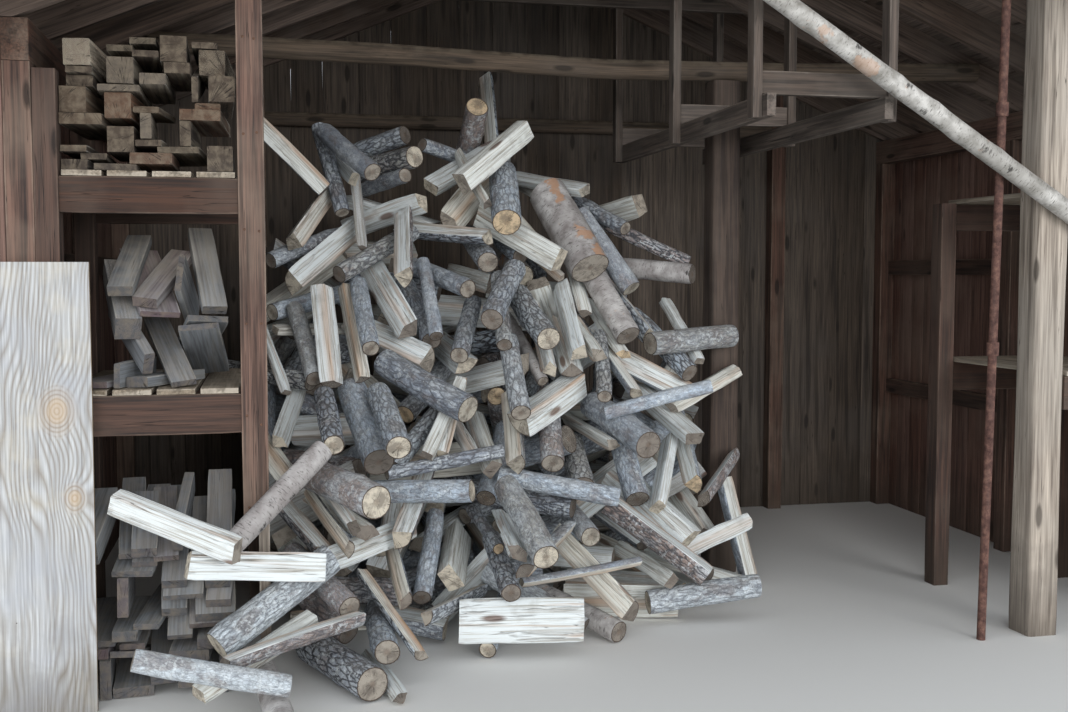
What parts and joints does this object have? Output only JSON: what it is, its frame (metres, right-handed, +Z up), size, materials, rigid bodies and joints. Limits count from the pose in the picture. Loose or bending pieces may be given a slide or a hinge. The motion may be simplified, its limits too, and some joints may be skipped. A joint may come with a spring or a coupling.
{
  "type": "firewood and offcut store",
  "caption": "Open-fronted gabled timber shed for wood: racks of offcuts in the side bays, a hung loft, pole bracing and a tipped heap of split firewood.",
  "frame": {"origin": "middle of the roof's plan, on the ground", "axes": "+X to the right along the open front, +Y from the front to the back, +Z up"},
  "size_m": [5.4612, 3.639, 3.452],
  "materials": {
    "bark_log": "dark bark with pale cut ends",
    "bark_pole": "peeled brown pole",
    "birch_bark": "birch bark",
    "birch_log": "birch bark with pale cut ends",
    "dark_boards": "dark brown boards",
    "offcuts": "weathered sawn offcuts",
    "plywood": "weathered plywood",
    "red_timber": "old red-brown framing timber",
    "roof_deck": "aged roof boards",
    "rusty_iron": "rusted pipe",
    "sheet_steel": "dull sheet steel with rust",
    "split_log": "fresh split firewood",
    "wall_boards": "red-brown stained boards",
    "weathered_timber": "grey-brown rough timber"
  },
  "bodies": {
    "root": {"back_girt": "bark_pole", "back_posts": "red_timber", "back_wall": "dark_boards", "barge_boards": "wall_boards", "bay_post_left": "red_timber", "bay_post_right": "weathered_timber", "bay_stud_left": "red_timber", "birch_brace": "birch_bark", "birch_logs": "birch_log", "corner_posts": "red_timber", "deck_left": "roof_deck", "deck_right": "roof_deck", "fascia_boards": "wall_boards", "inner_post": "weathered_timber", "left_wall": "wall_boards", "loft_bearers": "red_timber", "loft_hangers": "red_timber", "loft_joists": "red_timber", "loft_rails": "red_timber", "offcuts_bottom": "offcuts", "offcuts_middle": "offcuts", "offcuts_top": "offcuts", "pipe_prop": "rusty_iron", "plywood_sheet": "plywood", "rack_posts": "red_timber", "rack_rails": "red_timber", "rack_slats": "red_timber", "rafters_left": "red_timber", "rafters_right": "red_timber", "ridge_board": "red_timber", "ridge_cap": "sheet_steel", "right_wall": "wall_boards", "roof_sheets_left": "sheet_steel", "roof_sheets_right": "sheet_steel", "round_logs_low": "bark_log", "round_logs_middle": "bark_log", "round_logs_top": "bark_log", "side_girts": "red_timber", "side_posts": "red_timber", "split_logs_low": "split_log", "split_logs_middle": "split_log", "split_logs_top": "split_log", "tie_pole": "bark_pole", "wall_plates": "red_timber"}
  },
  "joints": []
}
